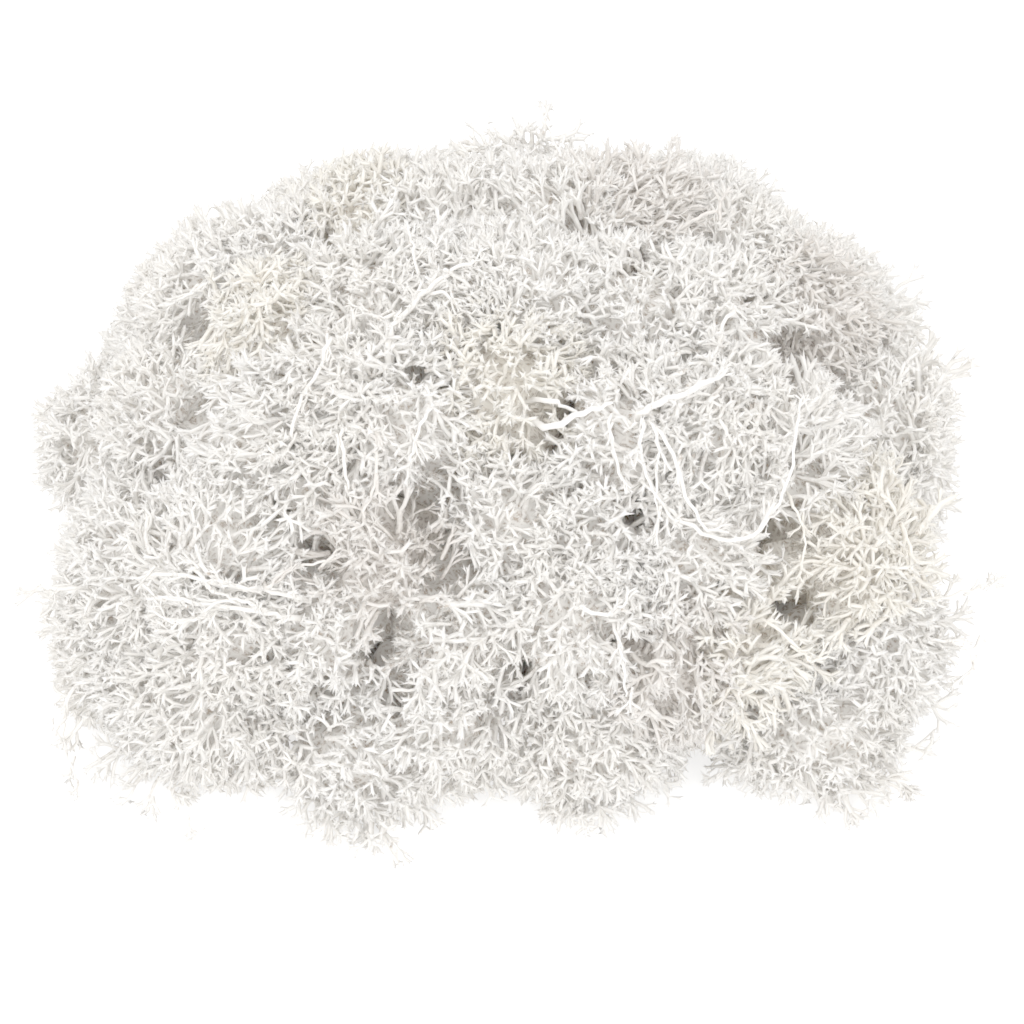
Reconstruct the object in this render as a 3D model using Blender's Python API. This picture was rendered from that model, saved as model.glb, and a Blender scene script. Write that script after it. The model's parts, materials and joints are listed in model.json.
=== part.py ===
"""A clump of dried reindeer moss: a heap of pale lichen tufts, each a solid of its own.

Metres, +Z up. The heap stands on Z = 0 with its box centred on the origin. The photograph
looks at its -Y side from well above. Every tuft is a head of forked branchlets that stand out
of a smaller core, and the cores meet face to face all through the heap.
"""
import math
import random

import bmesh
import bpy
from mathutils import Matrix, Vector

MM = 0.001
SEED = 11

# The heap is a dome: half sizes on the ground, height, and how square its flanks and plan are
HEAP_HALF_WIDTH = 119 * MM
HEAP_HALF_DEPTH = 98 * MM
HEAP_HEIGHT = 103 * MM
FLANK_EXPONENT = 2.0
PLAN_EXPONENT = 3.0

# The photograph's view: how high it looks down from, how far off, and where it points
VIEW_RISE = math.radians(48)
VIEW_DISTANCE = 900 * MM
VIEW_TARGET = Vector((0, 0, 40 * MM))
TARGET_PIXEL = (507, 424)
PIXELS_PER_METRE = 3840

# The tufts that the photograph shows: the pixel at the middle of each head, and its radius in mm
TUFT_ROWS = {
    "top": [(262, 226, 20), (352, 184, 20), (446, 176, 20), (548, 184, 20), (652, 182, 20),
            (755, 212, 19)],
    "upper": [(178, 295, 20), (268, 320, 20), (364, 288, 20), (456, 272, 20), (548, 280, 20),
              (642, 298, 20), (738, 300, 20), (836, 306, 20)],
    "middle": [(62, 428, 14), (146, 394, 19), (240, 428, 20), (334, 402, 20), (418, 414, 18),
               (510, 388, 22), (610, 430, 20), (706, 424, 20), (806, 430, 20), (908, 404, 17)],
    "lower": [(106, 545, 19), (203, 542, 19), (296, 520, 19), (388, 556, 18), (500, 530, 22),
              (606, 560, 19), (708, 560, 20), (876, 548, 21)],
    "base": [(92, 664, 19), (206, 650, 20), (322, 650, 20), (440, 662, 19), (560, 662, 20),
             (662, 690, 16), (762, 676, 21), (896, 656, 20)],
    "foot": [(172, 766, 17), (345, 788, 20), (446, 762, 16), (582, 780, 20), (846, 788, 18)],
}
# The far side's tufts stand in rings: height up the dome, head radius in mm, angles round it
BACK_RINGS = {
    "back_low": (0.12, 23, (10, 40, 70, 99, 127, 153)),
    "back_high": (0.52, 23, (28, 60, 90, 120, 152)),
}

# Tints of the dry lichen, as linear colours, and the tufts that aren't plain white
TINTS = {
    "white_lichen": (0.74, 0.70, 0.64),
    "cream_lichen": (0.72, 0.66, 0.55),
    "grey_lichen": (0.55, 0.51, 0.46),
}
CREAM_TUFTS = ("tuft_top_2", "tuft_upper_2", "tuft_base_7", "tuft_lower_8", "tuft_middle_6")
GREY_TUFTS = ("tuft_top_5", "tuft_upper_8", "tuft_lower_4", "tuft_base_6")

# A core: its lumps, how much deeper it goes towards the heap's middle, and the gap it keeps
CORE_FACES_STEP = 2
CORE_LUMP = 0.13
CORE_SHARE = 0.70
INWARD_REACH = 3.0
GAP = 0.3 * MM

# A branchlet: a three-sided stem out of the core that ends in a star of three prongs
DIRECTIONS_TRIED = 60
MOST_BRANCHLETS = 11
STEM_HALF = 2.0 * MM
NECK_HALF = 1.6 * MM
STEM_RISE = 5.6 * MM
PRONG_RISE = 5.5 * MM
PRONG_SPREAD = 5.6 * MM
ROOT_SHARE = 0.55
SIZES_TRIED = (1.2, 1.0, 0.8, 0.62)
LEAST_OUTWARD = -0.3
WALL_SPARE = 0.2 * MM
STRAY_HEIGHT = 12 * MM

# The unions tried in turn until one gives a closed wall, each with its merge distance
UNION_TRIES = [
    ("EXACT", 0.01 * MM),
    ("MANIFOLD", 0.01 * MM),
    ("EXACT", 0.002 * MM),
    ("MANIFOLD", 0.0001 * MM),
]

# Stray branches that show past the outline: the tuft each grows from and the pixel of its tip
STRAY_BRANCHES = [
    ("tuft_top_4", (545, 118)),
    ("tuft_lower_8", (985, 600)),
    ("tuft_base_8", (980, 655)),
    ("tuft_base_1", (60, 765)),
    ("tuft_lower_1", (30, 590)),
    ("tuft_foot_2", (400, 862)),
    ("tuft_foot_5", (870, 826)),
]


def clear_scene():
    for item in list(bpy.data.objects):
        bpy.data.objects.remove(item, do_unlink=True)


def lichen_material(name, colour):
    material = bpy.data.materials.new(name)
    material.use_nodes = True
    shader = material.node_tree.nodes["Principled BSDF"]
    shader.inputs["Base Color"].default_value = (*colour, 1.0)
    shader.inputs["Roughness"].default_value = 0.9
    shader.inputs["Metallic"].default_value = 0.0
    material.diffuse_color = (*colour, 1.0)
    return material


def heap_level(point):
    """How far out a point lies: 0 in the heap's middle on the ground, 1 on the dome."""
    across = abs(point.x / HEAP_HALF_WIDTH) ** PLAN_EXPONENT
    along = abs(point.y / HEAP_HALF_DEPTH) ** PLAN_EXPONENT
    plan = (across + along) ** (1 / PLAN_EXPONENT)
    rise = abs(point.z / HEAP_HEIGHT)
    return (plan ** FLANK_EXPONENT + rise ** FLANK_EXPONENT) ** (1 / FLANK_EXPONENT)


def heap_normal(point):
    step = 0.5 * MM
    slope = Vector((0, 0, 0))
    for axis in range(3):
        move = Vector((0, 0, 0))
        move[axis] = step
        slope[axis] = heap_level(point + move) - heap_level(point - move)
    return slope.normalized()


def view_axes():
    back = Vector((0, -math.cos(VIEW_RISE), math.sin(VIEW_RISE)))
    up = Vector((0, math.sin(VIEW_RISE), math.cos(VIEW_RISE)))
    return back, up


def pixel_ray(pixel):
    """The eye of the photograph and the direction in which it sees one pixel."""
    back, up = view_axes()
    eye = VIEW_TARGET + back * VIEW_DISTANCE
    right = (pixel[0] - TARGET_PIXEL[0]) / PIXELS_PER_METRE
    rise = (TARGET_PIXEL[1] - pixel[1]) / PIXELS_PER_METRE
    seen = VIEW_TARGET + Vector((right, 0, 0)) + up * rise
    return eye, (seen - eye).normalized()


def on_heap(pixel):
    """The point of the dome that a pixel shows, or the nearest to it beside the dome."""
    eye, direction = pixel_ray(pixel)
    nearest, least = None, 1e9
    for step in range(700, 1150):
        point = eye + direction * step * MM
        if point.z < 0:
            break
        level = heap_level(point)
        if level < least:
            nearest, least = point, level
        if level <= 1:
            break
    return nearest


def beside_tuft(tuft, pixel):
    """Where a pixel's line of sight passes a tuft's middle."""
    eye, direction = pixel_ray(pixel)
    back, _ = view_axes()
    reach = (tuft["centre"] - eye).dot(back) / direction.dot(back)
    return eye + direction * reach


def seat_tuft(name, surface_point, radius):
    """A tuft's head lies just under the dome, and is never lower than most of its radius."""
    outward = heap_normal(surface_point)
    centre = surface_point - outward * radius
    centre.z = max(centre.z, 0.55 * radius)
    return {"name": name, "centre": centre, "radius": radius, "outward": outward}


def seat_tufts():
    tufts = []
    for row, heads in TUFT_ROWS.items():
        for number, (across, down, radius) in enumerate(heads, start=1):
            name = f"tuft_{row}_{number}"
            tufts.append(seat_tuft(name, on_heap((across, down)), radius * MM))
    for row, (rise, radius, angles) in BACK_RINGS.items():
        for number, angle in enumerate(angles, start=1):
            turn = math.radians(angle)
            aim = Vector((math.cos(turn) * HEAP_HALF_WIDTH, math.sin(turn) * HEAP_HALF_DEPTH, 0))
            plan = (1 - rise ** FLANK_EXPONENT) ** (1 / FLANK_EXPONENT)
            point = aim * plan / heap_level(aim)
            point.z = rise * HEAP_HEIGHT
            tufts.append(seat_tuft(f"tuft_{row}_{number}", point, radius * MM))
    return tufts


def cell_walls(tuft, tufts):
    """Flat walls halfway to each neighbour, nearer to the smaller of the two, and the ground."""
    walls = [(Vector((0, 0, -1)), tuft["centre"].z, 0.0)]
    for other in tufts:
        if other is tuft:
            continue
        away = other["centre"] - tuft["centre"]
        distance = away.length
        share = (distance ** 2 + tuft["radius"] ** 2 - other["radius"] ** 2) / (2 * distance)
        walls.append((away / distance, share, GAP / 2))
    return walls


def room(walls, direction):
    """How far the tuft's cell reaches from its middle in one direction."""
    reach = 1.0
    for normal, offset, margin in walls:
        lean = normal.dot(direction)
        if lean > 1e-6:
            reach = min(reach, (offset - margin) / lean)
    return reach


def lies_inside(point, tuft, walls):
    away = point - tuft["centre"]
    return all(normal.dot(away) < offset - margin - WALL_SPARE for normal, offset, margin in walls)


def core_radius(tuft, direction, lump):
    inward = max(0.0, -direction.dot(tuft["outward"]))
    size = tuft["radius"] * CORE_SHARE * (1 + INWARD_REACH * inward ** 1.5)
    return size * (1 + CORE_LUMP * lump)


def tuft_core(tuft, walls, draw):
    """A lumpy ball, flat where it meets the ground or a neighbour's core."""
    shape = bmesh.new()
    bmesh.ops.create_icosphere(shape, subdivisions=CORE_FACES_STEP, radius=1.0)
    turn = Matrix.Rotation(draw.uniform(0, math.tau), 3, "Z") @ Matrix.Rotation(
        draw.uniform(0, math.pi), 3, "X")
    for vertex in shape.verts:
        direction = (turn @ vertex.co).normalized()
        reach = core_radius(tuft, direction, draw.uniform(-1, 1))
        vertex.co = tuft["centre"] + direction * min(reach, room(walls, direction))
        vertex.co.z = max(vertex.co.z, 0.0)
    mesh = bpy.data.meshes.new(tuft["name"])
    shape.to_mesh(mesh)
    shape.free()
    core = bpy.data.objects.new(tuft["name"], mesh)
    bpy.context.scene.collection.objects.link(core)
    return core


def even_directions(count, draw):
    """Directions spread evenly round a ball along a spiral, turned at random."""
    turn = draw.uniform(0, math.tau)
    golden = math.pi * (3 - math.sqrt(5))
    for number in range(count):
        rise = 1 - 2 * (number + 0.5) / count
        flat = math.sqrt(1 - rise * rise)
        angle = turn + golden * number
        yield Vector((flat * math.cos(angle), flat * math.sin(angle), rise))


def branchlet(root, neck, axis, draw, size):
    """A three-sided stem whose end is pulled out into a star of three prongs."""
    side = axis.orthogonal().normalized()
    side.rotate(Matrix.Rotation(draw.uniform(0, math.tau), 3, axis))
    other = axis.cross(side)
    shape = bmesh.new()

    def ring(centre, half):
        corners = []
        for number in range(3):
            angle = math.tau * number / 3
            spot = centre + (side * math.cos(angle) + other * math.sin(angle)) * half
            corners.append(shape.verts.new(spot))
        return corners

    low = ring(root, STEM_HALF * size)
    high = ring(neck, NECK_HALF * size)
    shape.faces.new(reversed(low))
    for number in range(3):
        after = (number + 1) % 3
        shape.faces.new((low[number], low[after], high[after], high[number]))
    cap = shape.faces.new(high)
    star = bmesh.ops.poke(shape, faces=[cap])
    star["verts"][0].co = neck + axis * 0.5 * MM
    for face in list(star["faces"]):
        middle = face.calc_center_median() - neck
        spread = (middle - axis * middle.dot(axis)).normalized()
        tip = neck + spread * PRONG_SPREAD * size * draw.uniform(0.8, 1.2)
        tip += axis * PRONG_RISE * size * draw.uniform(0.5, 1.4)
        prong = bmesh.ops.poke(shape, faces=[face])
        prong["verts"][0].co = tip
    bmesh.ops.triangulate(shape, faces=shape.faces[:])
    return shape


def fitting_branchlet(tuft, walls, direction, draw):
    """The largest branchlet in this direction that stays within the tuft's own cell."""
    core_reach = core_radius(tuft, direction, 0.0)
    root = tuft["centre"] + direction * core_reach * ROOT_SHARE
    for size in SIZES_TRIED:
        neck = tuft["centre"] + direction * (core_reach + STEM_RISE * size)
        shape = branchlet(root, neck, direction, draw, size)
        if all(lies_inside(vertex.co, tuft, walls) for vertex in shape.verts):
            return shape
        shape.free()
    return None


def stray_branchlet(tuft, pixel, draw):
    tip = beside_tuft(tuft, pixel)
    tip.z = max(tip.z, STRAY_HEIGHT)
    direction = (tip - tuft["centre"]).normalized()
    root = tuft["centre"] + direction * core_radius(tuft, direction, 0.0) * ROOT_SHARE
    return branchlet(root, tip - direction * PRONG_RISE, direction, draw, SIZES_TRIED[0])


def evenly_picked(shapes, most):
    """At most so many of the shapes, taken at even steps. The others are freed."""
    step = max(1.0, len(shapes) / most)
    kept = {int(number * step) for number in range(min(most, len(shapes)))}
    for number, shape in enumerate(shapes):
        if number not in kept:
            shape.free()
    return [shape for number, shape in enumerate(shapes) if number in kept]


def tuft_branchlets(tuft, walls, draw):
    """Branchlets all over the free side of a head, wherever its cell leaves them room."""
    shapes = []
    for direction in even_directions(DIRECTIONS_TRIED, draw):
        if direction.dot(tuft["outward"]) > LEAST_OUTWARD:
            shapes.append(fitting_branchlet(tuft, walls, direction, draw))
    shapes = evenly_picked([shape for shape in shapes if shape], MOST_BRANCHLETS)
    for name, pixel in STRAY_BRANCHES:
        if name == tuft["name"]:
            shapes.append(stray_branchlet(tuft, pixel, draw))
    branchlets = []
    for shape in shapes:
        mesh = bpy.data.meshes.new("branchlet")
        shape.to_mesh(mesh)
        shape.free()
        branchlets.append(bpy.data.objects.new("branchlet", mesh))
    return branchlets


def union_of(core, group, solver):
    union = core.modifiers.new("union", "BOOLEAN")
    union.operation = "UNION"
    union.operand_type = "COLLECTION"
    union.collection = group
    union.solver = solver
    bpy.context.view_layer.update()
    reader = bpy.context.evaluated_depsgraph_get()
    mesh = bpy.data.meshes.new_from_object(core.evaluated_get(reader))
    core.modifiers.remove(union)
    return mesh


def is_one_body(shape):
    """Whether every corner of a mesh can be walked to from its first one."""
    shape.verts.ensure_lookup_table()
    reached, ahead = {shape.verts[0]}, [shape.verts[0]]
    while ahead:
        for edge in ahead.pop().link_edges:
            for vertex in edge.verts:
                if vertex not in reached:
                    reached.add(vertex)
                    ahead.append(vertex)
    return len(reached) == len(shape.verts)


def tidied(mesh, merge):
    """Merges what the union left doubled, and says whether the mesh is one closed body."""
    shape = bmesh.new()
    shape.from_mesh(mesh)
    bmesh.ops.remove_doubles(shape, verts=shape.verts[:], dist=merge)
    bmesh.ops.dissolve_degenerate(shape, edges=shape.edges[:], dist=merge)
    bmesh.ops.triangulate(shape, faces=shape.faces[:])
    closed = all(len(edge.link_faces) == 2 for edge in shape.edges) and is_one_body(shape)
    shape.to_mesh(mesh)
    shape.free()
    return closed


def first_closed_union(core, group):
    for solver, merge in UNION_TRIES:
        mesh = union_of(core, group, solver)
        if tidied(mesh, merge):
            return mesh
    return None


def joined(core, branchlets):
    """One union of the core with its branchlets, less any that keep it from closing."""
    group = bpy.data.collections.new("branchlets")
    bpy.context.scene.collection.children.link(group)
    for item in branchlets:
        group.objects.link(item)
    mesh = first_closed_union(core, group)
    while mesh is None:
        group.objects.unlink(group.objects[-1])
        mesh = first_closed_union(core, group)
    core.data = mesh
    for item in branchlets:
        bpy.data.objects.remove(item, do_unlink=True)
    bpy.data.collections.remove(group)


def tint_of(name):
    if name in CREAM_TUFTS:
        return "cream_lichen"
    if name in GREY_TUFTS:
        return "grey_lichen"
    return "white_lichen"


def centre_on_origin(objects):
    """The heap's box is centred over the origin. Its foot is already on the ground."""
    spots = [vertex.co for item in objects for vertex in item.data.vertices]
    middle_x = (min(spot.x for spot in spots) + max(spot.x for spot in spots)) / 2
    middle_y = (min(spot.y for spot in spots) + max(spot.y for spot in spots)) / 2
    for item in objects:
        item.location = (-middle_x, -middle_y, 0)


def build():
    clear_scene()
    materials = {name: lichen_material(name, colour) for name, colour in TINTS.items()}
    tufts = seat_tufts()
    made = []
    for number, tuft in enumerate(tufts):
        draw = random.Random(SEED * 1000 + number)
        walls = cell_walls(tuft, tufts)
        core = tuft_core(tuft, walls, draw)
        joined(core, tuft_branchlets(tuft, walls, draw))
        core.data.materials.clear()
        core.data.materials.append(materials[tint_of(tuft["name"])])
        made.append(core)
    centre_on_origin(made)
    return made


build()
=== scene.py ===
# %% [markdown]
# # A heap of reindeer moss
#
# Reindeer moss is a lichen. It grows as small bushes of hollow, chalky stalks that fork again
# and again and end in tiny pale stars. Dried and pushed together, the bushes make a springy
# heap. The solid model says where each bush, or tuft, lies. This lesson dresses every tuft in
# stalks fine enough to look real, and each dressed tuft takes the place of its solid.

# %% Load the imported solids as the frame
import json
import math
import random

import bmesh
import bpy
from mathutils import Matrix, Vector, noise


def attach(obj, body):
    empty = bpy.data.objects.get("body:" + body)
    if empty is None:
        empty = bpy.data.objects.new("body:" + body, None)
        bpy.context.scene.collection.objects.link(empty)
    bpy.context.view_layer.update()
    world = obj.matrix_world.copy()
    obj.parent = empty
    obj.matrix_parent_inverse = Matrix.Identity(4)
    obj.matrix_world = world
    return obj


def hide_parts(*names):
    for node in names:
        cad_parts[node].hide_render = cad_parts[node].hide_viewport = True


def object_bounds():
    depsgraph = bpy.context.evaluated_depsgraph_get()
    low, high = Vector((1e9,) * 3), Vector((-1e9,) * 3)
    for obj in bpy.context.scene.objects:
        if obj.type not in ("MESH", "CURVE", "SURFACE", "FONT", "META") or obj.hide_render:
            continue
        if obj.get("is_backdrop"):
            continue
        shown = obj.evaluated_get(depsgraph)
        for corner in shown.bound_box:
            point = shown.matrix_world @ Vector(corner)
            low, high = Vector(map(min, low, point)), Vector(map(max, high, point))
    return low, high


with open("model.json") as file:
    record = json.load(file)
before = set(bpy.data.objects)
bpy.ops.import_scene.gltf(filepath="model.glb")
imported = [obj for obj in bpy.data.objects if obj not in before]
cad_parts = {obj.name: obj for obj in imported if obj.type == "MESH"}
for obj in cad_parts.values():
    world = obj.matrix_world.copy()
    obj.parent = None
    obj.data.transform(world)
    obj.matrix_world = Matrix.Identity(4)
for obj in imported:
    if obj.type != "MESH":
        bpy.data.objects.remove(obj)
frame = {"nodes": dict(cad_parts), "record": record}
solid_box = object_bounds()
MM = 0.001
print(len(frame["nodes"]), "tufts in the frame")

# %% [markdown]
# ## What the solids say
#
# Each solid ends in three-pronged stars, and their points lie about the same distance from the
# middle of the tuft's head. A point where only three edges meet, at narrow angles, is the tip of
# a prong, so the tips are easily found. The head's middle is then the spot that has all the tips
# at that distance. It is found by stepping back from every tip towards the last guess and taking
# the mean, again and again. Tips of stray branches lie much further out, so they are dropped and
# the rest is fitted once more. Nothing is measured twice, so the looks can't drift from the
# solids.

# %% Find the middle of each head
PRONG_EDGES = 3
PRONG_ANGLES = math.radians(200)
HEAD_REACH = 24.5 * MM
GUESSES = 40
STRAY = 1.3
MERGED = 0.005 * MM
LOWEST_MIDDLE = HEAD_REACH / 3
REACH_RANK = 0.8


def prong_tips(node):
    """The points of a solid that end its prongs: three edges meet there, at narrow angles."""
    shape = bmesh.new()
    shape.from_mesh(frame["nodes"][node].data)
    bmesh.ops.remove_doubles(shape, verts=shape.verts[:], dist=MERGED)
    tips = []
    for vertex in shape.verts:
        corners = sum(loop.calc_angle() for loop in vertex.link_loops)
        if len(vertex.link_edges) == PRONG_EDGES and corners < PRONG_ANGLES:
            tips.append(vertex.co.copy())
    shape.free()
    return tips


def fitted_middle(tips, middle):
    """The spot that has all the tips at about the head's reach, from a first guess."""
    for _ in range(GUESSES):
        back = [tip - (tip - middle).normalized() * HEAD_REACH for tip in tips]
        middle = sum(back, Vector()) / len(back)
    return middle


def head_of(node):
    """The head's middle, reach and outward side, without the tips of stray branches."""
    tips = prong_tips(node)
    mean = sum(tips, Vector()) / len(tips)
    middle = fitted_middle(tips, mean - mean.normalized() * HEAD_REACH / 2)
    tips = [tip for tip in tips if (tip - middle).length < STRAY * HEAD_REACH]
    middle = fitted_middle(tips, middle)
    middle.z = max(middle.z, LOWEST_MIDDLE)
    outward = sum(((tip - middle).normalized() for tip in tips), Vector()).normalized()
    reach = sorted((tip - middle).length for tip in tips)[int(REACH_RANK * len(tips))]
    return {"node": node, "middle": middle, "reach": reach, "outward": outward}


heads = [head_of(node) for node in sorted(frame["nodes"])]
print("head reach", round(min(h["reach"] for h in heads) * 1000, 1), "to",
      round(max(h["reach"] for h in heads) * 1000, 1), "mm")

# %% [markdown]
# ## The photographer's eye
#
# Some things are placed where the photograph shows them: the outline, the dark hollows and a few
# bold stems. For that the lesson needs the camera's geometry early. The eye looks down at 48
# degrees from 0.9 metres. One function turns a point into a pixel, and another finds the head
# that a pixel shows, by asking where a line of sight first meets a ball round each head's middle.

# %% Between points and pixels
VIEW_RISE = math.radians(48)
VIEW_DISTANCE = 0.9
VIEW_TARGET = Vector((0.0013, 0.0018, 0.040))
TARGET_PIXEL = (507, 424)
PIXELS_PER_METRE = 3840
HALF_PICTURE = 512

to_eye = Vector((0, -math.cos(VIEW_RISE), math.sin(VIEW_RISE)))
across = Vector((1, 0, 0))
upward = to_eye.cross(across)
aim_point = (VIEW_TARGET + across * (HALF_PICTURE - TARGET_PIXEL[0]) / PIXELS_PER_METRE
             - upward * (HALF_PICTURE - TARGET_PIXEL[1]) / PIXELS_PER_METRE)
eye = aim_point + to_eye * VIEW_DISTANCE


def pixel_of(point):
    """The pixel at which the photographer's eye sees a point."""
    gap = point - eye
    zoom = PIXELS_PER_METRE * VIEW_DISTANCE / -gap.dot(to_eye)
    return HALF_PICTURE + gap.dot(across) * zoom, HALF_PICTURE - gap.dot(upward) * zoom


def line_of_sight(pixel):
    """The direction from the eye through a pixel."""
    offset = across * (pixel[0] - HALF_PICTURE) - upward * (pixel[1] - HALF_PICTURE)
    return (offset / PIXELS_PER_METRE - to_eye * VIEW_DISTANCE).normalized()


def head_seen(pixel):
    """The head that a pixel shows and how far away its skin is, or the head that is nearest."""
    aim = line_of_sight(pixel)
    found = []
    for head in heads:
        to_middle = head["middle"] - eye
        along = to_middle.dot(aim)
        miss = (to_middle - aim * along).length - head["reach"]
        chord = math.sqrt(max(head["reach"] ** 2 - (miss + head["reach"]) ** 2, 0))
        found.append((max(miss, 0), along - chord, head))
    _, distance, head = min(found, key=lambda row: row[:2])
    return head, distance


print("the eye stands at", [round(value, 3) for value in eye])

# %% [markdown]
# ## The space that each tuft may use
#
# Two tufts that touch share a flat boundary, like two soap bubbles. A boundary halfway between
# the two middles is a good guess, and a tuft's space is what lies on its own side of all its
# boundaries and above the ground. Asking how far a straight line runs in that space tells how
# far the tuft's hidden middle may reach in any direction. Neighbours overlap a little, so that
# no light comes through between them.

# %% Boundaries between the heads
OVERLAP = 0.3 * MM
NEIGHBOURHOOD = 4 * HEAD_REACH
ALONG_WALL = 1e-6


def boundaries(head):
    """The ground and the plane towards each neighbour, as a normal and a distance."""
    walls = [(Vector((0, 0, -1)), head["middle"].z)]
    for other in heads:
        away = other["middle"] - head["middle"]
        if 0 < away.length < NEIGHBOURHOOD:
            walls.append((away.normalized(), away.length / 2 + OVERLAP))
    return walls


def free_run(walls, direction, most):
    """How far a straight line runs from the head's middle before it meets a wall."""
    for normal, offset in walls:
        lean = normal.dot(direction)
        if lean > ALONG_WALL:
            most = min(most, offset / lean)
    return most


for head in heads:
    head["walls"] = boundaries(head)
print("boundaries per head", sum(len(h["walls"]) for h in heads) // len(heads))

# %% [markdown]
# ## One stalk
#
# A stalk is a thin three-sided tube. It grows from one small face: the face is extruded, its
# corners are set round the new heading, and the step is repeated. To fork, the end face is poked
# into three and two or three of those are extruded on their own. Every fork leaves an open axil
# between the branches, as on the real lichen. The last faces are poked once more and drawn out
# into a star of points. Three sides are enough, because a whole stalk is only a few pixels wide
# in the picture, and smooth shading rounds it.
#
# A number called age is kept on every corner: 0 at the root and 1 at the tips. The material reads
# it later. The lower parts of the stalks are older and browner, and the lowest parts also get
# painted shade, the dark shade deep in the heap.

# %% Growing and forking a stalk
SIDE_SCATTER = 0.35


def set_round(face, centre, heading, radius):
    """The face's corners are set round a point, square to the heading."""
    for vertex in face.verts:
        side = vertex.co - centre
        side -= heading * side.dot(heading)
        vertex.co = centre + side.normalized() * radius


def grown(shape, face, heading, length, radius, age):
    """The face is extruded along a heading, and its corners get their new ring and age."""
    start = face.calc_center_median()
    ages = shape.verts.layers.float["age"]
    face = bmesh.ops.extrude_discrete_faces(shape, faces=[face])["faces"][0]
    set_round(face, start, heading, radius)
    for vertex in face.verts:
        vertex.co += heading * length
        vertex[ages] = age
    return face


def forked(shape, face, heading, lift, age):
    """The end face is poked into three small faces round a raised point."""
    star = bmesh.ops.poke(shape, faces=[face])
    hub = star["verts"][0]
    hub.co += heading * lift
    hub[shape.verts.layers.float["age"]] = age
    return list(star["faces"])


def leaning(heading, start, face, spread, draw):
    """A new heading that leans away from the old one, towards the side of one small face."""
    side = face.calc_center_median() - start
    side -= heading * side.dot(heading)
    scatter = Vector([draw.uniform(-SIDE_SCATTER, SIDE_SCATTER) for _ in range(3)])
    side = side.normalized() + scatter
    return (heading * math.cos(spread) + side.normalized() * math.sin(spread)).normalized()


# %% [markdown]
# ## A podetium
#
# Botanists call one such forked stalk a podetium. Each order of forking is shorter and thinner
# than the last, so all the tips come out at about the same height and close up into a rounded
# crown. The orders are listed once, from root to tip, in real millimetres. Ninety podetia are
# grown, each from its own seed, and every tuft borrows them turned, tilted and scaled. That is
# much faster than growing each one where it stands, and no one sees the repeats.

# %% The orders of branching
ORDERS = [
    {"length": 5.0 * MM, "radius": 0.82 * MM, "spread": 28, "bends": 2, "age": 0.3},
    {"length": 4.0 * MM, "radius": 0.70 * MM, "spread": 38, "bends": 2, "age": 0.55},
    {"length": 2.6 * MM, "radius": 0.62 * MM, "spread": 48, "bends": 1, "age": 0.8},
]
POINT_LENGTH = 2.0 * MM
POINT_SPREAD = 46
THIRD_BRANCH = 0.42
BEND = 0.34
ROOT_RADIUS = 0.8 * MM
ROOT_LENGTH = 0.5 * MM
FORK_LIFT = 0.15 * MM
STAR_LIFT = 0.2 * MM
STAR_AGE = 0.9
PODETIA = 90

# The least and the most that chance makes of a length or a spread
ORDER_LENGTHS = (0.72, 1.28)
FORK_SPREADS = (0.6, 1.3)
POINT_LENGTHS = (0.6, 1.3)
POINT_SPREADS = (0.4, 1.35)


def star_points(shape, face, heading, draw):
    """The end face is poked into three, and each small face is drawn out into a point."""
    start = face.calc_center_median()
    ages = shape.verts.layers.float["age"]
    for small in forked(shape, face, heading, STAR_LIFT, STAR_AGE):
        spread = math.radians(POINT_SPREAD * draw.uniform(*POINT_SPREADS))
        aim = leaning(heading, start, small, spread, draw)
        point = bmesh.ops.poke(shape, faces=[small])["verts"][0]
        point.co = start + aim * POINT_LENGTH * draw.uniform(*POINT_LENGTHS)
        point[ages] = 1.0


def grow_orders(shape, face, heading, order, draw):
    """One order of branching grows from the face, and each of its forks grows the next."""
    plan = ORDERS[order]
    length = plan["length"] * draw.uniform(*ORDER_LENGTHS) / plan["bends"]
    for _ in range(plan["bends"]):
        bend = Vector([draw.uniform(-BEND, BEND) for _ in range(3)])
        heading = (heading + bend).normalized()
        face = grown(shape, face, heading, length, plan["radius"], plan["age"])
    if order == len(ORDERS) - 1:
        star_points(shape, face, heading, draw)
        return
    start = face.calc_center_median()
    small_faces = forked(shape, face, heading, FORK_LIFT, plan["age"])
    draw.shuffle(small_faces)
    branches = 3 if draw.random() < THIRD_BRANCH else 2
    for small in small_faces[:branches]:
        spread = math.radians(plan["spread"] * draw.uniform(*FORK_SPREADS))
        aim = leaning(heading, start, small, spread, draw)
        grow_orders(shape, small, aim, order + 1, draw)


def podetium(seed):
    """A forked stalk that stands on the origin and grows up, as a mesh with an age layer."""
    draw = random.Random(seed)
    shape = bmesh.new()
    shape.verts.layers.float.new("age")
    bmesh.ops.create_cone(shape, cap_ends=True, segments=3, radius1=ROOT_RADIUS,
                          radius2=ROOT_RADIUS, depth=ROOT_LENGTH)
    base = max(shape.faces, key=lambda face: face.calc_center_median().z)
    grow_orders(shape, base, Vector((0, 0, 1)), 0, draw)
    bmesh.ops.triangulate(shape, faces=shape.faces[:])
    mesh = bpy.data.meshes.new("podetium")
    shape.to_mesh(mesh)
    shape.free()
    return mesh


podetia = [podetium(seed) for seed in range(PODETIA)]
heights = [max(vertex.co.z for vertex in mesh.vertices) for mesh in podetia]
print(PODETIA, "podetia of", min(len(m.polygons) for m in podetia), "to",
      max(len(m.polygons) for m in podetia), "triangles,", round(min(heights) * 1000, 1), "to",
      round(max(heights) * 1000, 1), "mm tall")
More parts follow.
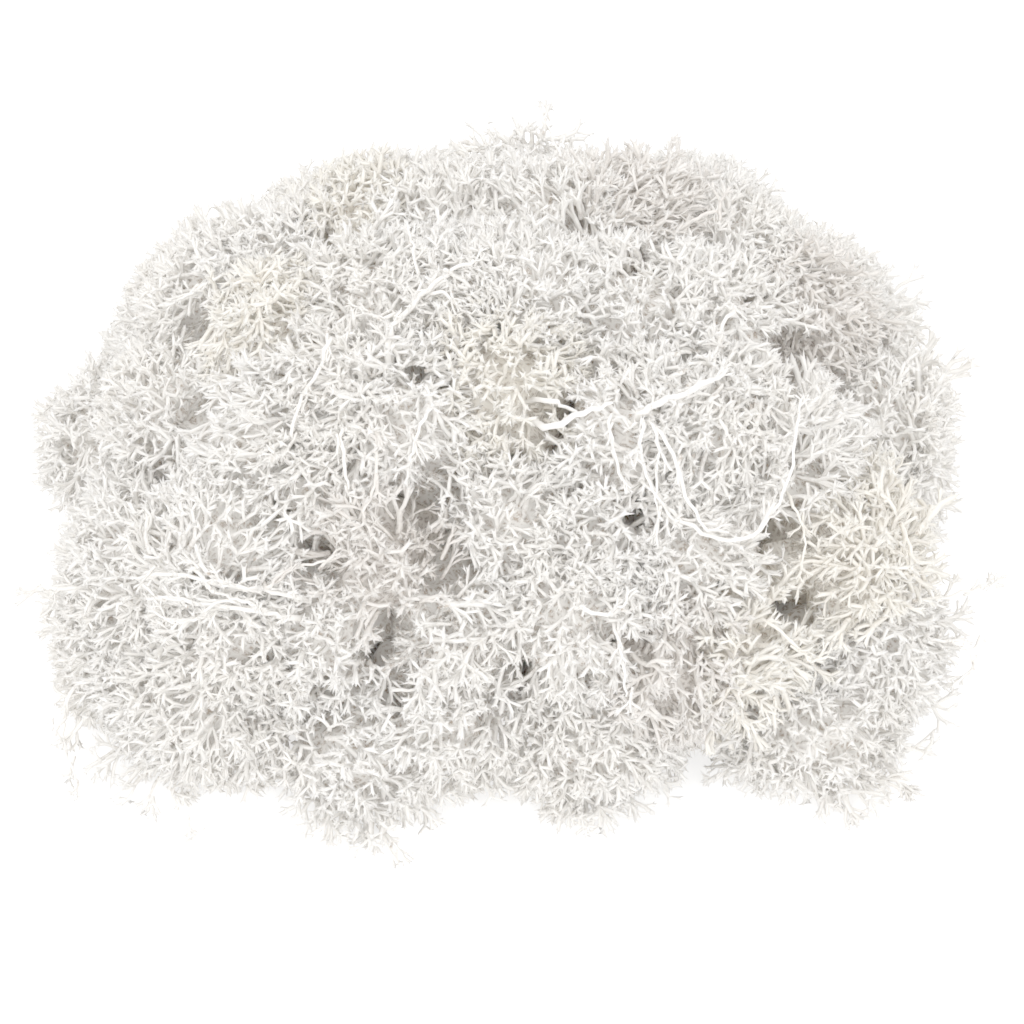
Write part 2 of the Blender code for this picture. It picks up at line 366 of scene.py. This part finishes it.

# %% [markdown]
# ## The dark hollows
#
# Between some heads the photograph looks deep into the heap. Each hollow is written down as a
# pixel and a half width. A podetium whose crown would stand in front of a hollow is sunk and gets
# a lower age later, or is left out, and the hidden middle behind it draws back. The lower age
# paints shade on it, so the hollow is lined with moss in painted shade, as in the real heap.

# %% Hollows, as pixel x, pixel y and half width
HOLLOWS = [
    (195, 325, 18), (190, 412, 15), (145, 460, 10), (222, 532, 17), (275, 515, 11),
    (315, 560, 20), (222, 592, 12), (432, 482, 24), (410, 512, 26), (440, 550, 24),
    (452, 586, 24), (440, 622, 18), (382, 640, 24), (402, 664, 20), (388, 694, 13),
    (180, 690, 11), (265, 665, 11), (325, 705, 11), (495, 715, 13), (526, 682, 13),
    (550, 415, 13), (600, 462, 15), (620, 385, 10), (645, 508, 15), (618, 628, 19),
    (635, 662, 14), (672, 732, 13), (707, 656, 13), (727, 598, 12), (773, 618, 12),
    (788, 535, 18), (802, 602, 18), (812, 462, 17), (795, 370, 14), (785, 335, 11),
    (865, 515, 13), (640, 250, 12), (580, 215, 11), (440, 300, 8), (430, 375, 9),
    (840, 470, 10), (700, 470, 9), (545, 640, 9), (290, 400, 9), (345, 470, 10),
]
HOLLOW_DEPTH = 1.2 * HEAD_REACH


def in_hollow(point, margin):
    """True where a point of the near side stands in front of a hollow."""
    x, y = pixel_of(point)
    for hollow_x, hollow_y, half_width in HOLLOWS:
        if math.hypot(x - hollow_x, y - hollow_y) < half_width + margin:
            _, distance = head_seen((hollow_x, hollow_y))
            return (point - eye).length < distance + HOLLOW_DEPTH
    return False


print(len(HOLLOWS), "hollows")

# %% [markdown]
# ## The hidden middle of a tuft
#
# Deep inside, the stalks stand so close together that no light comes back. A lumpy ball stands
# for them, well below the crowns. It starts as an icosphere whose corners are pushed out or in
# along their own directions. It reaches much deeper towards the middle of the heap, so that the
# heap isn't hollow, but it stays inside the tuft's space.

# %% A ball of packed stalks
CORE_REACH = 0.62
CORE_LUMPS = 0.10
CORE_LUMP_RANGE = (-1, 0.6)
CORE_MARGIN = 5
DEEP_REACH = 2.2
HOLLOW_CORE = 0.42


def add_core(shape, head, draw):
    """The hidden middle joins the tuft's shape as a lumpy ball of age nought, which gets painted
    shade.
    """
    ages = shape.verts.layers.float["age"]
    ball = bmesh.ops.create_icosphere(shape, subdivisions=3, radius=1.0)
    for vertex in ball["verts"]:
        direction = vertex.co.normalized()
        inward = max(0.0, -direction.dot(head["outward"]))
        reach = head["reach"] * CORE_REACH * (1 + DEEP_REACH * inward)
        reach = free_run(head["walls"], direction, reach)
        reach *= 1 + CORE_LUMPS * draw.uniform(*CORE_LUMP_RANGE)
        if in_hollow(head["middle"] + direction * reach, CORE_MARGIN):
            reach = min(reach, head["reach"] * HOLLOW_CORE)
        vertex.co = head["middle"] + direction * reach
        # Age nought gets the darkest painted shade.
        vertex[ages] = 0.0


# %% [markdown]
# ## The outline
#
# The heap's edge is read from the photograph as a ring of pixels. A crown that would show
# outside the ring is drawn in towards the middle of its head, by about a fifth at most. To tell
# inside from outside, a level line is followed to the right, and an odd number of crossings
# means inside.

# %% The ring of pixels
OUTLINE = [
    (140, 815), (165, 806), (200, 786), (232, 800), (262, 803), (292, 826), (318, 846),
    (345, 852), (372, 868), (398, 846), (420, 826), (442, 830), (470, 812), (500, 806),
    (528, 816), (552, 830), (578, 838), (602, 842), (626, 816), (652, 790), (682, 786),
    (712, 790), (745, 792), (775, 800), (806, 800), (832, 818), (858, 828), (880, 826),
    (905, 800), (925, 790), (948, 760), (962, 722), (955, 690), (966, 650), (978, 612),
    (938, 560), (946, 522), (940, 480), (938, 440), (955, 405), (948, 372), (945, 342),
    (920, 320), (886, 300), (856, 280), (838, 262), (826, 240), (812, 221), (780, 200),
    (762, 180), (758, 162), (730, 150), (676, 146), (640, 152), (500, 150), (470, 156),
    (410, 146), (380, 142), (345, 158), (318, 162), (300, 182), (270, 201), (190, 221),
    (172, 241), (162, 261), (146, 281), (132, 301), (123, 340), (82, 380), (38, 402),
    (34, 440), (40, 480), (62, 520), (48, 560), (30, 600), (47, 640), (45, 680), (58, 720),
    (56, 755), (80, 780), (110, 800),
]


def inside_outline(point):
    """True where a point shows inside the ring of pixels."""
    x, y = pixel_of(point)
    inside = False
    for (x1, y1), (x2, y2) in zip(OUTLINE, OUTLINE[1:] + OUTLINE[:1]):
        if (y1 > y) != (y2 > y) and x < x1 + (x2 - x1) * (y - y1) / (y2 - y1):
            inside = not inside
    return inside


print(len(OUTLINE), "pixels round the heap")

# %% [markdown]
# ## Dressing a tuft
#
# Directions spread evenly round a ball come from a spiral that turns by the golden angle. A
# podetium is planted along each direction whose crown isn't buried in another head, with the
# crown at the head's skin. Turning, tilting and scaling each one a little keeps the repeats from
# showing, and one shared lean for a whole tuft makes it look combed. Crowns stand out a little
# further towards a close neighbour, which fills the crease between two heads. The far side gets
# fewer and bigger podetia, because the camera of the photograph never sees them.

# %% Plant podetia on a head
GOLDEN_ANGLE = math.pi * (3 - math.sqrt(5))
SEEN_SKIN = 20.2 * MM * MM
SEEN_SIZE = 0.86
FAR_SKIN = 41 * MM * MM
FAR_SIZE = 1.12
FAR_SIDE = -0.15
SEEN_FILL = 0.07
FAR_FILL = 0.2
SUNK = 0.70
DRAWN_IN = 0.8
# The share of its age that a sunk podetium keeps, which paints shade on it
SUNK_SHADE_AGE_SHARE = 0.16
SUNK_LEFT_OUT = 0.35
LEAST_OUTWARD = -0.45
COVER = 4.5 * MM
LUMP_SIZE = 11 * MM
LUMP_SHARE = 0.09
COMBING = 0.62
LEAST_LEAN = 0.35
TILT = 0.32
HOLLOW_MARGIN = 7
FOOT_HEIGHT = 1.0 * MM
LOWEST_CROWN = 1.5 * MM
OVERHANG = 6 * MM
BRIDGE_LEAN = 0.15
SKIN_MEAN = 0.95
SKIN_SCATTER = (-0.04, 0.03)
DRAW_STEP = 0.95
SIZE_SCATTER = (0.82, 1.18)
TUFT_SEED = 1000


def even_directions(count, draw):
    """Directions that are spread evenly round a ball, from its top to its bottom."""
    turn = draw.uniform(0, math.tau)
    for number in range(count):
        rise = 1 - 2 * (number + 0.5) / count
        flat = math.sqrt(1 - rise * rise)
        angle = turn + GOLDEN_ANGLE * number
        yield Vector((flat * math.cos(angle), flat * math.sin(angle), rise))


def covered(point, own):
    """True where a point lies well under the skin of another head."""
    for other in heads:
        if other is not own and (point - other["middle"]).length < other["reach"] - COVER:
            return True
    return False


def planting(crown, heading, height, size, draw):
    """The transform that stands a podetium along a heading with its crown at a point."""
    turn = heading.to_track_quat("Z", "Y").to_matrix().to_4x4()
    twist = Matrix.Rotation(draw.uniform(0, math.tau), 4, "Z")
    foot = crown - heading * height * size
    return Matrix.Translation(foot) @ turn @ twist @ Matrix.Scale(size, 4)


def plant(shape, crown, heading, size, draw, shade_age_share=1.0):
    """One podetium joins the shape, and a share of its age below one paints shade on it."""
    kind = draw.randrange(PODETIA)
    crown.y = max(crown.y, solid_box[0].y - OVERHANG)
    steepest = (crown.z - FOOT_HEIGHT) / (heights[kind] * size)
    heading = Vector((heading.x, heading.y, min(heading.z, steepest))).normalized()
    mesh = podetia[kind].copy()
    mesh.transform(planting(crown, heading, heights[kind], size, draw))
    # A lower age paints shade on a podetium that lines a hollow.
    if shade_age_share < 1:
        for corner in mesh.attributes["age"].data:
            corner.value *= shade_age_share
    shape.from_mesh(mesh)
    bpy.data.meshes.remove(mesh)


def bridge(head, direction, fill):
    """How much further a crown stands out where a neighbour's head is close by."""
    most = 0.0
    for away, distance in head["near"]:
        crease = distance / (2 * head["reach"])
        lean = direction.dot(away)
        if 0 < lean < crease + BRIDGE_LEAN:
            most = max(most, min(lean / crease, 1.0) ** 2)
    return fill * most


for head in heads:
    gaps = [other["middle"] - head["middle"] for other in heads if other is not head]
    head["near"] = [(gap.normalized(), gap.length) for gap in gaps if gap.length < 2 * HEAD_REACH]


def drawn_in(head, direction, run):
    """The run, made shorter step by step while the crown would show outside the outline."""
    least = DRAWN_IN * head["reach"]
    while run > least and not inside_outline(head["middle"] + direction * run):
        run *= DRAW_STEP
    return run


def crowns(head, skin, fill, draw):
    """Every direction that a head has room for, with its crown point and whether it is sunk."""
    count = round(4 * math.pi * head["reach"] ** 2 / skin)
    for direction in even_directions(count, draw):
        lump = SKIN_MEAN + LUMP_SHARE * noise.noise(direction * head["reach"] / LUMP_SIZE)
        share = lump + draw.uniform(*SKIN_SCATTER) + bridge(head, direction, fill)
        run = drawn_in(head, direction, head["reach"] * share)
        crown = head["middle"] + direction * run
        under = crown.z < LOWEST_CROWN
        turned_in = direction.dot(head["outward"]) < LEAST_OUTWARD
        if under or turned_in or covered(crown, head):
            continue
        sunk = in_hollow(crown, HOLLOW_MARGIN)
        if sunk and draw.random() < SUNK_LEFT_OUT:
            continue
        yield direction, head["middle"] + direction * run * (SUNK if sunk else 1), sunk


def dress(head, number):
    """One tuft: the hidden middle, fine podetia on the near side and bigger ones behind."""
    draw = random.Random(TUFT_SEED + number)
    shape = bmesh.new()
    shape.verts.layers.float.new("age")
    add_core(shape, head, draw)
    combing = Vector([draw.uniform(-COMBING, COMBING) for _ in range(3)])
    planted = 0
    for near, skin, middle_size, fill in ((True, SEEN_SKIN, SEEN_SIZE, SEEN_FILL),
                                          (False, FAR_SKIN, FAR_SIZE, FAR_FILL)):
        for direction, crown, sunk in crowns(head, skin, fill, draw):
            tilt = Vector([draw.uniform(-TILT, TILT) for _ in range(3)])
            heading = (direction + combing + tilt).normalized()
            if heading.dot(direction) < LEAST_LEAN:
                heading = (direction + tilt).normalized()
            if near == (direction.dot(to_eye) > FAR_SIDE):
                size = middle_size * draw.uniform(*SIZE_SCATTER)
                # A sunk podetium keeps only a share of its age, which paints shade on it.
                plant(shape, crown, heading, size, draw, SUNK_SHADE_AGE_SHARE if sunk else 1.0)
                planted += 1
    return shape, planted


shapes = {}
planted_in_all = 0
for number, head in enumerate(heads):
    shapes[head["node"]], planted = dress(head, number)
    planted_in_all += planted
print(planted_in_all, "podetia planted,", sum(len(s.faces) for s in shapes.values()), "triangles")

# %% [markdown]
# ## Bold stems
#
# A few thick pale stems lie across the heap, and their bends catch the eye. Each is a five-sided
# tube that is extruded from point to point along a line in the photograph, and it becomes part
# of the tuft that it lies on. It starts at a root inside its first head, so it is carried from
# whichever side one looks. Cutting the corners of the line twice makes the bends round. Small
# podetia sprout from most of them, which keeps them from looking like wire.

# %% Stems, as half thickness in mm, rise over the skin in mm, sprouts and pixels
STEMS = [
    (1.25, 1.5, 4, [(385, 352), (392, 325), (425, 290), (450, 272), (474, 262)]),
    (0.95, 1.0, 3, [(425, 290), (415, 270), (412, 240)]),
    (0.75, 1.0, 3, [(425, 290), (448, 294), (462, 308)]),
    (0.70, 1.0, 3, [(398, 314), (380, 318), (362, 310)]),
    (1.30, 3.0, 0, [(549, 430), (579, 415), (611, 402)]),
    (0.95, 3.0, 0, [(551, 400), (566, 406), (582, 414)]),
    (1.60, 2.0, 2, [(640, 410), (668, 398), (711, 381)]),
    (0.75, 1.5, 2, [(647, 415), (638, 445), (645, 480), (664, 505)]),
    (0.70, 1.5, 2, [(651, 415), (660, 445), (653, 488), (662, 520)]),
    (0.80, 1.5, 2, [(656, 420), (675, 458), (687, 501), (707, 530)]),
    (0.65, 1.0, 2, [(609, 407), (613, 445), (621, 478)]),
    (0.80, 2.5, 3, [(651, 484), (668, 509), (707, 537), (740, 542), (771, 522), (792, 475),
                    (799, 411)]),
    (0.65, 1.5, 2, [(794, 500), (806, 535), (801, 565)]),
    (1.00, 1.2, 5, [(296, 620), (262, 612), (225, 606), (198, 604), (158, 596)]),
    (0.75, 1.2, 3, [(262, 612), (244, 600), (222, 596), (204, 586)]),
    (0.70, 1.2, 3, [(225, 606), (208, 614), (186, 622), (165, 618)]),
    (0.85, 1.2, 4, [(305, 598), (266, 590), (225, 586), (189, 576), (150, 574)]),
    (0.65, 1.2, 3, [(225, 586), (210, 572), (194, 562)]),
    (0.65, 1.2, 2, [(266, 590), (280, 574), (300, 566), (330, 560)]),
    (0.80, 1.0, 2, [(338, 425), (345, 455), (347, 490)]),
    (0.75, 1.0, 3, [(431, 400), (419, 428), (411, 465)]),
    (0.80, 1.5, 3, [(330, 330), (322, 365), (300, 400), (290, 440)]),
    (0.70, 1.5, 3, [(365, 420), (380, 450), (375, 490), (362, 520)]),
    (0.85, 1.5, 3, [(575, 606), (604, 617), (628, 602)]),
    (0.65, 1.0, 2, [(617, 622), (621, 659), (628, 697)]),
    (0.95, 2.0, 1, [(676, 236), (700, 216), (722, 212)]),
    (0.85, 1.5, 3, [(740, 300), (720, 330), (712, 370)]),
    (0.75, 1.5, 3, [(765, 620), (790, 640), (812, 662)]),
    (0.80, 1.0, 5, [(578, 190), (566, 165), (552, 140), (545, 114)]),
    (0.95, 0.0, 6, [(915, 610), (945, 598), (975, 590), (992, 582)]),
    (0.80, 0.0, 5, [(925, 640), (955, 640), (975, 655), (968, 680)]),
    (0.75, 0.0, 4, [(70, 690), (62, 720), (66, 755), (80, 785)]),
    (0.65, 0.0, 3, [(170, 795), (184, 818), (194, 836)]),
    (0.65, 0.0, 3, [(380, 832), (390, 850), (398, 866)]),
    (0.80, 0.0, 4, [(70, 590), (48, 585), (32, 592)]),
    (0.80, 1.5, 3, [(230, 270), (200, 290), (180, 300)]),
]
STEM_SIDES = 5
STEM_AGE = 0.5
STEM_SINK = 1.3 * MM
STEM_WAVE = 0.5 * MM
STEM_SLIM = 0.8
STEM_TAPER = 0.5
STEM_GIRTHS = (0.88, 1.12)
STEM_STUB = 0.3 * MM
STEM_SEED = 5000
OFF_GROUND = 2 * MM
ROOTED = 0.45
SPROUT_SIZE = 0.6
SPROUT_SIZES = (0.8, 1.2)
SPROUT_SIDE = 0.7
SPROUT_RISE = 9 * MM


def cut_corners(points):
    """The line with each corner cut at a quarter and three quarters of its legs."""
    line = [points[0]]
    for first, second in zip(points, points[1:]):
        line += [first.lerp(second, 0.25), first.lerp(second, 0.75)]
    return line + [points[-1]]


def above_ground(pixel, distance):
    """The point on a line of sight, moved up it where it would lie under the ground."""
    aim = line_of_sight(pixel)
    ground = (OFF_GROUND - eye.z) / aim.z
    return eye + aim * min(distance, ground)


def stem_line(pixels, rise):
    """The stem's line in space: a root inside its first head, then the skin along its pixels."""
    seen = [head_seen(pixel) for pixel in pixels]
    mean = sum(distance for _, distance in seen) / len(seen)
    line = []
    for pixel, (_, distance) in zip(pixels, seen):
        line.append(above_ground(pixel, (distance + mean) / 2 - rise + STEM_SINK))
    line.insert(0, seen[0][0]["middle"].lerp(line[0], ROOTED))
    return cut_corners(cut_corners(line)), seen[len(seen) // 2][0]


def add_stem(shape, line, thick, draw):
    """A tapering tube along a line, closed at both ends."""
    heading = (line[1] - line[0]).normalized()
    stand = Matrix.Translation(line[0]) @ heading.to_track_quat("Z", "Y").to_matrix().to_4x4()
    stub = bmesh.ops.create_cone(shape, cap_ends=True, segments=STEM_SIDES, radius1=thick,
                                 radius2=thick, depth=STEM_STUB, matrix=stand)
    ages = shape.verts.layers.float["age"]
    for vertex in stub["verts"]:
        vertex[ages] = STEM_AGE
    ends = {face for vertex in stub["verts"] for face in vertex.link_faces}
    face = max(ends, key=lambda end: (end.calc_center_median() - line[0]).dot(heading))
    for number, point in enumerate(line[1:], 1):
        wave = Vector([draw.uniform(-STEM_WAVE, STEM_WAVE) for _ in range(3)])
        step = point + wave - face.calc_center_median()
        radius = thick * (1 - STEM_TAPER * number / len(line)) * draw.uniform(*STEM_GIRTHS)
        face = grown(shape, face, step.normalized(), step.length, radius, STEM_AGE)


for number, (thick, rise, sprouts, pixels) in enumerate(STEMS):
    draw = random.Random(STEM_SEED + number)
    line, head = stem_line(pixels, rise * MM)
    shape = shapes[head["node"]]
    add_stem(shape, line, thick * STEM_SLIM * MM, draw)
    for sprout in range(sprouts):
        place = len(line) - 1 - sprout * (len(line) - 2) // sprouts
        along = (line[place] - line[place - 1]).normalized()
        side = Vector([draw.uniform(-1, 1) for _ in range(3)])
        heading = (along + side * SPROUT_SIDE).normalized()
        size = SPROUT_SIZE * draw.uniform(*SPROUT_SIZES)
        plant(shape, line[place] + heading * SPROUT_RISE * size, heading, size, draw)
print(len(STEMS), "stems")

# %% [markdown]
# ## The ragged edge
#
# Against the white ground the outline matters most. It isn't round: sprays stick out here and
# there, and at the foot they lie flat on the ground. At each pixel of the outline two podetia
# point outwards from the head that is nearest to it, and more pixels fill the low corners. A
# short stalk runs from inside the head to each pair, so that no spray hangs in the air.

# %% Sprays on the outline
LOW_CORNERS = [
    (100, 740), (92, 768), (128, 786), (158, 790), (182, 774), (668, 772), (692, 770),
    (716, 772), (740, 776), (662, 752), (690, 750), (715, 752), (698, 736), (682, 744),
    (708, 762), (500, 790), (520, 796), (345, 832), (375, 842), (400, 828), (575, 822),
    (600, 824), (848, 812), (872, 808),
]
SPRAYS = 2
SPRAY_SIZE = 0.85
SPRAY_SIZES = (0.8, 1.2)
SPRAY_SIDE = 0.45
SPRAY_SHIFT = 5 * MM
SPRAY_BACK = 2.5 * MM
SPRAY_LEAST_RISE = -0.15
SPRAY_LOWEST = 2.5 * MM
SPRAY_STALK = 0.6 * MM
SPRAY_STALK_SHORT = 4.0 * MM
SPRAY_SEED = 8000

for number, pixel in enumerate(OUTLINE + LOW_CORNERS):
    draw = random.Random(SPRAY_SEED + number)
    head, distance = head_seen(pixel)
    edge = above_ground(pixel, distance)
    outward = (edge - head["middle"]).normalized()
    for _ in range(SPRAYS):
        side = Vector([draw.uniform(-SPRAY_SIDE, SPRAY_SIDE) for _ in range(3)])
        heading = outward + side
        heading.z = max(heading.z, SPRAY_LEAST_RISE)
        heading.normalize()
        size = SPRAY_SIZE * draw.uniform(*SPRAY_SIZES)
        crown = edge + side * SPRAY_SHIFT - outward * SPRAY_BACK * draw.uniform(0, 1)
        crown.z = max(crown.z, SPRAY_LOWEST)
        plant(shapes[head["node"]], crown, heading, size, draw)
    root = head["middle"].lerp(edge, ROOTED)
    tip = edge - outward * SPRAY_STALK_SHORT
    add_stem(shapes[head["node"]], [root, root.lerp(tip, 0.5), tip], SPRAY_STALK, draw)
print(len(OUTLINE + LOW_CORNERS) * SPRAYS, "sprays on the outline")

# %% [markdown]
# ## One piece for each tuft
#
# A shape turns into an object once everything has joined it. Moss gives way where it meets the
# ground, so every point in the lowest millimetre or below it is pressed together just above the
# ground. A formula does that better than cutting, which would leave flat faces that coincide.
# Smooth shading then rounds the three-sided stalks.

# %% Press, smooth and link the pieces
LOWEST = 0.15 * MM
SOFT_GROUND = 1.0 * MM


def as_object(shape, name):
    """The shape as a linked object of that name."""
    mesh = bpy.data.meshes.new(name)
    shape.to_mesh(mesh)
    shape.free()
    made = bpy.data.objects.new(name, mesh)
    bpy.context.scene.collection.objects.link(made)
    return made


def finished(shape, node):
    """The tuft's shape as a piece, smooth, and pressed together where it meets the ground."""
    for vertex in shape.verts:
        depth = SOFT_GROUND - vertex.co.z
        if depth > 0:
            vertex.co.z = SOFT_GROUND - (SOFT_GROUND - LOWEST) * depth / (depth + SOFT_GROUND)
    for face in shape.faces:
        face.smooth = True
    return as_object(shape, node.replace("tuft", "lichen_tuft"))


slots = {row["node"]: row["material_slot"] for row in frame["record"]["subparts"]}
pieces = {node: finished(shape, node) for node, shape in shapes.items()}
triangles = [len(piece.data.polygons) for piece in pieces.values()]
print(len(pieces), "pieces,", sum(triangles), "triangles, at most", max(triangles), "in one")

# %% [markdown]
# ## The lichen's finish
#
# Dry reindeer moss is chalky: dull, almost white at the tips, and warmer and browner down the
# stalks. The colour runs with the age that every corner carries, and the lowest ages get painted
# shade. Noise on the object's own coordinates makes soft patches of cream and grey over the heap,
# and a fine grain like flour that also drives a small bump. The hidden middle gets a pale net
# over a dark brown ground, painted shade that looks like more stalks further in. One function
# makes the three tints of the record.

# %% Materials
# A mix node has a pair of sockets for every type of value, and these are the ones for colour
COLOUR_SOCKETS = (6, 7)
COLOUR_RESULT = 2

PATCH_SCALE = 38
PATCH_DETAIL = 2
PATCH_RANGE = (0.42, 0.62)
NET_SCALE = 420
NET_RANGE = (0.06, 0.22)
GRAIN_SCALE = 1900
GRAIN_DETAIL = 3
GRAIN_RANGE = (0.30, 0.60)
STALK_AGES = (0.3, 0.9)
# Ages over which the painted shade deep in the heap gives way to the stalk colours
PAINTED_SHADE_AGES = (0.04, 0.42)

# Linear colours: at the tips, in the patches, down the stalks, and painted shade between the
# stalks
TINTS = {
    "white_lichen": [(0.945, 0.915, 0.87), (0.92, 0.875, 0.805), (0.90, 0.865, 0.805),
                     (0.34, 0.26, 0.19)],
    "cream_lichen": [(0.93, 0.90, 0.83), (0.90, 0.845, 0.74), (0.88, 0.82, 0.71),
                     (0.33, 0.26, 0.19)],
    "grey_lichen": [(0.87, 0.83, 0.78), (0.80, 0.75, 0.69), (0.74, 0.68, 0.61),
                    (0.27, 0.22, 0.18)],
}


def mixed(tree, factor, first, second):
    """A blend of two colours, each given as numbers or as another node's output."""
    node = tree.nodes.new("ShaderNodeMix")
    node.data_type = "RGBA"
    tree.links.new(factor, node.inputs["Factor"])
    for number, value in zip(COLOUR_SOCKETS, (first, second)):
        if isinstance(value, tuple):
            node.inputs[number].default_value = (*value, 1.0)
        else:
            tree.links.new(value, node.inputs[number])
    return node.outputs[COLOUR_RESULT]


def noise_of(tree, place, scale, detail):
    """Soft noise between nought and one."""
    node = tree.nodes.new("ShaderNodeTexNoise")
    node.inputs["Scale"].default_value = scale
    node.inputs["Detail"].default_value = detail
    tree.links.new(place, node.inputs["Vector"])
    return node.outputs["Fac"]


def strands_of(tree, place, scale):
    """The walls between the cells of a Voronoi pattern, which look like a net of strands."""
    node = tree.nodes.new("ShaderNodeTexVoronoi")
    node.feature = "DISTANCE_TO_EDGE"
    node.inputs["Scale"].default_value = scale
    tree.links.new(place, node.inputs["Vector"])
    return node.outputs["Distance"]


def stepped(tree, value, low, high):
    """The value stretched so that low gives nought and high gives one."""
    node = tree.nodes.new("ShaderNodeMapRange")
    node.inputs["From Min"].default_value = low
    node.inputs["From Max"].default_value = high
    tree.links.new(value, node.inputs["Value"])
    return node.outputs["Result"]


def lichen_material(name, tip, patch, stalk, root):
    """A dry, floury finish that runs with age from painted shade at the root, through the stalk
    colour, to the tip colour.
    """
    material = bpy.data.materials.new(name)
    material.use_nodes = True
    tree = material.node_tree
    shader = tree.nodes["Principled BSDF"]
    place = tree.nodes.new("ShaderNodeTexCoord").outputs["Object"]
    age = tree.nodes.new("ShaderNodeAttribute")
    age.attribute_name = "age"
    patches = stepped(tree, noise_of(tree, place, PATCH_SCALE, PATCH_DETAIL), *PATCH_RANGE)
    pale = mixed(tree, patches, tip, patch)
    upper = mixed(tree, stepped(tree, age.outputs["Fac"], *STALK_AGES), stalk, pale)
    # Painted shade: the lowest ages get the dark root colour under a net of pale strands
    strands = stepped(tree, strands_of(tree, place, NET_SCALE), *NET_RANGE)
    net = mixed(tree, strands, stalk, root)
    colour = mixed(tree, stepped(tree, age.outputs["Fac"], *PAINTED_SHADE_AGES), net, upper)
    grain = noise_of(tree, place, GRAIN_SCALE, GRAIN_DETAIL)
    floury = mixed(tree, stepped(tree, grain, *GRAIN_RANGE), stalk, colour)
    tree.links.new(floury, shader.inputs["Base Color"])
    bump = tree.nodes.new("ShaderNodeBump")
    bump.inputs["Strength"].default_value = 0.35
    bump.inputs["Distance"].default_value = 0.0002
    tree.links.new(grain, bump.inputs["Height"])
    tree.links.new(bump.outputs["Normal"], shader.inputs["Normal"])
    shader.inputs["Roughness"].default_value = 0.92
    shader.inputs["Specular IOR Level"].default_value = 0.15
    return material


finishes = {name: lichen_material(name, *colours) for name, colours in TINTS.items()}
for node, piece in pieces.items():
    piece.data.materials.append(finishes[slots[node]])
    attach(piece, "root")
    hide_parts(node)
print(len(pieces), "tufts dressed")

# %% [markdown]
# ## Floor and light
#
# The photograph is a bright studio shot on white with hardly a shadow. A white sky does most of
# the work. A broad lamp overhead shapes the stalks a little, a softer one in front lifts the near
# side, and the paper glows faintly so that it stays white. Real stalks are thin enough to pass
# light on to each other, which a plain surface doesn't do. A gamma above one makes up for that,
# because it lifts the middle tones and leaves black and white where they are.

# %% Floor and light
FLOOR_SIZE = 3.0

floor_shape = bmesh.new()
bmesh.ops.create_grid(floor_shape, x_segments=1, y_segments=1, size=FLOOR_SIZE)
floor = as_object(floor_shape, "floor")
paper = bpy.data.materials.new("white_paper")
paper.use_nodes = True
paper_shader = paper.node_tree.nodes["Principled BSDF"]
paper_shader.inputs["Base Color"].default_value = (0.93, 0.93, 0.93, 1)
paper_shader.inputs["Roughness"].default_value = 0.9
paper_shader.inputs["Emission Color"].default_value = (1, 1, 1, 1)
paper_shader.inputs["Emission Strength"].default_value = 0.3
floor.data.materials.append(paper)
floor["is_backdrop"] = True


def area_lamp(name, place, aim, size, power):
    """A square lamp at a place, turned to face its aim."""
    light = bpy.data.lights.new(name, "AREA")
    light.size = size
    light.energy = power
    lamp = bpy.data.objects.new(name, light)
    lamp.location = place
    lamp.rotation_euler = (Vector(aim) - Vector(place)).to_track_quat("-Z", "Y").to_euler()
    bpy.context.scene.collection.objects.link(lamp)


area_lamp("top_lamp", place=(-0.25, -0.1, 0.9), aim=(0, 0, 0.05), size=0.6, power=1.5)
area_lamp("front_lamp", place=(0.2, -0.9, 0.55), aim=(0, 0, 0.04), size=0.8, power=0.8)
world = bpy.data.worlds.new("studio")
world.use_nodes = True
world.node_tree.nodes["Background"].inputs["Color"].default_value = (1, 1, 1, 1)
world.node_tree.nodes["Background"].inputs["Strength"].default_value = 1.0
bpy.context.scene.world = world
bpy.context.scene.view_settings.view_transform = "Standard"
bpy.context.scene.view_settings.gamma = 2.1
bpy.context.scene.view_settings.exposure = 0.38
print("two lamps and a white sky")

# %% [markdown]
# ## The camera
#
# The camera stands at the photographer's eye and looks down at the same angle. Its lens follows
# from the distance and from the photograph's scale, so a millimetre of moss covers the same
# number of pixels in both pictures. Nothing is shifted and everything is sharp.

# %% Camera
lens = bpy.data.cameras.new("camera")
lens.sensor_width = 36.0
lens.sensor_fit = "HORIZONTAL"
lens.lens = lens.sensor_width * VIEW_DISTANCE * PIXELS_PER_METRE / (2 * HALF_PICTURE)
lens.clip_start = 0.01
camera = bpy.data.objects.new("camera", lens)
camera.location = eye
camera.rotation_euler = (math.pi / 2 - VIEW_RISE, 0, 0)
bpy.context.scene.collection.objects.link(camera)
bpy.context.scene.camera = camera
print("lens", round(lens.lens, 1), "mm")

# %% [markdown]
# ## Sizes
#
# The box round the solids and the box round the dressed heap are kept side by side. The moss
# stands out of its solids by a few millimetres, and these numbers show how many.

# %% Sizes
dressed_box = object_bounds()
sizes = {"cad": [list(corner) for corner in solid_box],
         "visual": [list(corner) for corner in dressed_box]}
for name, box in sizes.items():
    print(name, [round((high - low) * 1000, 1) for low, high in zip(*box)])
